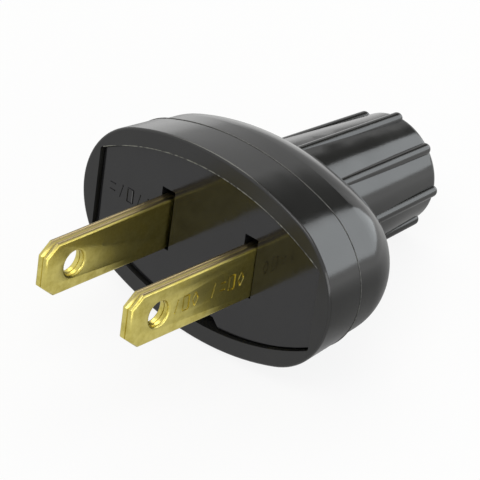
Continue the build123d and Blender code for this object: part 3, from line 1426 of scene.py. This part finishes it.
@dataclass
class Studio:
    """Camera, white table, white surroundings and soft lamps. Angles are in degrees."""

    azimuth: float = 42.684
    elevation: float = 35.986
    roll: float = 1.491
    distance: float = 353.708
    target: tuple[float, float, float] = (5.088, -6.672, 15.040)
    lens: float = 247.07
    sensor: float = 36.0
    table_size: float = 3.0
    ambient: float = 0.5
    table_colour: str = "#e4e4e4"
    table_glow: float = 0.88
    mirrored_share: float = 0.85
    # Brightness of the table in glossy rays by its Y in millimetres, a painted shadow: dark beside
    # the plug, bright far behind it
    mirrored_glow_with_painted_shadow: tuple[tuple[float, float], ...] = ((-10, 0.8), (4, 0.25), (20, 0.35), (60, 1.25))
    boxes: tuple[SoftBox, ...] = (
        SoftBox("back box", 159.3, 11, 43, 38, 2.9, tint="#f4fbff"),
        SoftBox("top box", -136, 51, 46, 31, 2.9, tint="#fffdf0"),
        SoftBox("front box", 20, 65, 40, 30, 2.6),
        SoftBox("side box", 76, 9, 78, 28, 2.3),
    )
    cards: tuple[SoftBox, ...] = (
        SoftBox("dark card", -167, 44, 23, 40, 0.0, 0.7),
        SoftBox("grey wall", -138, 5, 54, 36, 0.7, 1.0),
    )

    def direction(self, azimuth: float, elevation: float) -> Vector:
        """Unit vector from the plug towards a place round it.

        Args:
            azimuth: 0 is on the -Y side and 90 on the +X side.
            elevation: Angle above the table.

        Returns:
            The direction in the row frame.
        """
        turn, lift = radians(azimuth), radians(elevation)
        return Vector((sin(turn) * cos(lift), -cos(turn) * cos(lift), sin(lift)))

    def build(self) -> None:
        """Builds the whole studio."""
        self.place_camera()
        self.light_surroundings()
        self.lay_table()
        self.hang_lamps()

    def place_camera(self) -> None:
        """Places the camera as the photograph's was fitted."""
        data = bpy.data.cameras.new("camera")
        data.lens = self.lens
        data.sensor_width = self.sensor
        data.clip_start = 0.01
        data.clip_end = 10.0
        camera = bpy.data.objects.new("camera", data)
        back = self.direction(self.azimuth, self.elevation)
        target = Vector(self.target) * MILLIMETRE
        aim = (-back).to_track_quat("-Z", "Y")
        camera.rotation_mode = "QUATERNION"
        camera.rotation_quaternion = aim @ Quaternion((0, 0, 1), radians(self.roll))
        camera.location = target + back * self.distance * MILLIMETRE
        bpy.context.scene.collection.objects.link(camera)
        bpy.context.scene.camera = camera

    def seen_rays(self, tree: NodeTree, straight: float, mirrored: float) -> NodeSocket:
        """Weighs the rays that see the surroundings; those that only carry light get 0.

        Args:
            tree: Node tree that gets the nodes.
            straight: Weight of camera rays.
            mirrored: Weight of glossy and transmission rays.

        Returns:
            Socket with the ray's weight.
        """
        rays = add_node(tree, "ShaderNodeLightPath").outputs
        seen = add_node(
            tree, "ShaderNodeMath", {0: rays["Is Camera Ray"], 1: straight}, operation="MULTIPLY"
        ).outputs["Value"]
        for name in ("Is Glossy Ray", "Is Transmission Ray"):
            weighed = add_node(
                tree, "ShaderNodeMath", {0: rays[name], 1: mirrored}, operation="MULTIPLY"
            ).outputs["Value"]
            seen = add_node(
                tree, "ShaderNodeMath", {0: seen, 1: weighed}, operation="MAXIMUM"
            ).outputs["Value"]
        return seen

    def light_surroundings(self) -> None:
        """Makes the surroundings white where they are seen and plain where they light."""
        world = bpy.data.worlds.new("white surroundings")
        world.use_nodes = True
        tree = world.node_tree
        strength = add_node(
            tree,
            "ShaderNodeMapRange",
            {"Value": self.seen_rays(tree, 1.0, 1.0), "To Min": self.ambient, "To Max": 1.0},
        ).outputs["Result"]
        background = tree.nodes["Background"]
        background.inputs["Color"].default_value = linear(WHITE)
        tree.links.new(strength, background.inputs["Strength"])
        bpy.context.scene.world = world

    def lay_table(self) -> None:
        """Lays the white table, which glows a little so that only the shadow stays grey, and
        carries a painted shadow beside the plug for glossy rays.
        """
        bpy.ops.object.select_all(action="DESELECT")
        bpy.ops.mesh.primitive_plane_add(size=self.table_size, location=(0, 0, cad_box[0].z))
        table = bpy.context.active_object
        table.name = "table"
        bpy.ops.object.transform_apply(location=True, rotation=True, scale=True)
        material = bpy.data.materials.new("white lacquered table")
        material.use_nodes = True
        tree = material.node_tree
        tree.nodes.remove(tree.nodes["Principled BSDF"])
        lit = add_node(tree, "ShaderNodeBsdfDiffuse", {"Color": linear(self.table_colour)})
        rays = add_node(tree, "ShaderNodeLightPath").outputs
        # Glossy rays see the table's painted shadow, camera rays a plain glow
        strength = add_node(
            tree,
            "ShaderNodeMix",
            {0: rays["Is Camera Ray"], 2: self.painted_shadow_on_table(tree), 3: 1.0},
            data_type="FLOAT",
        ).outputs[0]
        glow = add_node(tree, "ShaderNodeEmission", {"Color": linear(WHITE), "Strength": strength})
        share = self.seen_rays(tree, self.table_glow, self.mirrored_share)
        mixed = add_node(
            tree,
            "ShaderNodeMixShader",
            {0: share, 1: lit.outputs["BSDF"], 2: glow.outputs["Emission"]},
        )
        tree.links.new(mixed.outputs["Shader"], tree.nodes["Material Output"].inputs["Surface"])
        table.data.materials.append(material)

    def painted_shadow_on_table(self, tree: NodeTree) -> NodeSocket:
        """Paints a shadow beside the plug on the table as the glossy walls mirror it, graded from
        front to back.

        Args:
            tree: Node tree of the table's material.

        Returns:
            Socket with the brightness: painted shadow beside the plug, bright far behind it.
        """
        place = add_node(tree, "ShaderNodeTexCoord").outputs["Object"]
        depth = add_node(tree, "ShaderNodeSeparateXYZ", {"Vector": place}).outputs["Y"]
        brightness = self.mirrored_glow_with_painted_shadow[0][1]
        for (start, before), (end, after) in zip(self.mirrored_glow_with_painted_shadow, self.mirrored_glow_with_painted_shadow[1:]):
            step = add_node(
                tree,
                "ShaderNodeMapRange",
                {
                    "Value": depth,
                    "From Min": start * MILLIMETRE,
                    "From Max": end * MILLIMETRE,
                    "To Max": after - before,
                },
            ).outputs["Result"]
            brightness = add_node(tree, "ShaderNodeMath", {0: brightness, 1: step}).outputs["Value"]
        return brightness

    def hang_lamps(self) -> None:
        """Hangs the soft boxes and the cards round the plug."""
        for box in self.boxes:
            self.hang_lamp(box)
        for card in self.cards:
            self.hang_card(card)

    def facing(self, azimuth: float, elevation: float, distance: float) -> Matrix:
        """Place at a distance from the plug, turned to face it.

        Args:
            azimuth: Place round the plug.
            elevation: Height above the table as an angle.
            distance: Distance from the plug in metres.

        Returns:
            Matrix of an object there that looks at the plug along its own -Z.
        """
        away = self.direction(azimuth, elevation)
        place = Vector(self.target) * MILLIMETRE + away * distance
        turn = (-away).to_track_quat("-Z", "Y").to_matrix().to_4x4()
        return Matrix.Translation(place) @ turn

    def hang_lamp(self, box: SoftBox) -> None:
        """Hangs one soft box that faces the plug.

        Args:
            box: Place, size and brightness of the box.
        """
        width, height = box.extent()
        data = bpy.data.lights.new(box.name, "AREA")
        data.shape = "RECTANGLE"
        data.size = width
        data.size_y = height
        data.energy = box.radiance * pi * width * height
        data.color = linear(box.tint)[:3]
        lamp = bpy.data.objects.new(box.name, data)
        lamp.matrix_world = self.facing(box.azimuth, box.elevation, box.distance)
        bpy.context.scene.collection.objects.link(lamp)

    def hang_card(self, sheet: SoftBox) -> None:
        """Hangs a plain card that the camera doesn't see but the glossy faces mirror.

        Args:
            sheet: Place, size and brightness of the card.
        """
        width, height = sheet.extent()
        bpy.ops.object.select_all(action="DESELECT")
        bpy.ops.mesh.primitive_plane_add(size=1)
        card = bpy.context.active_object
        card.name = sheet.name
        place = self.facing(sheet.azimuth, sheet.elevation, sheet.distance)
        card.matrix_world = place @ Matrix.Diagonal((width, height, 1, 1))
        bpy.ops.object.transform_apply(location=True, rotation=True, scale=True)
        material = bpy.data.materials.new(f"{sheet.name} paper")
        material.use_nodes = True
        shader = material.node_tree.nodes["Principled BSDF"]
        shader.inputs["Base Color"].default_value = linear(BLACK)
        shader.inputs["Roughness"].default_value = 1.0
        shader.inputs["Emission Color"].default_value = linear(WHITE)
        shader.inputs["Emission Strength"].default_value = sheet.radiance
        card.data.materials.append(material)
        card.visible_camera = False
        card.visible_shadow = False


def main() -> None:
    """Builds the plug's pieces and the studio in order."""
    logging.basicConfig(level=logging.INFO, format="%(message)s")
    bpy.context.scene.view_settings.view_transform = "Standard"
    for part in (Moulding(), Blades(), TerminalScrews(), TerminalNuts(), Studio()):
        log.info("making %s", type(part).__name__)
        part.build()


if __name__ == "__main__":
    main()
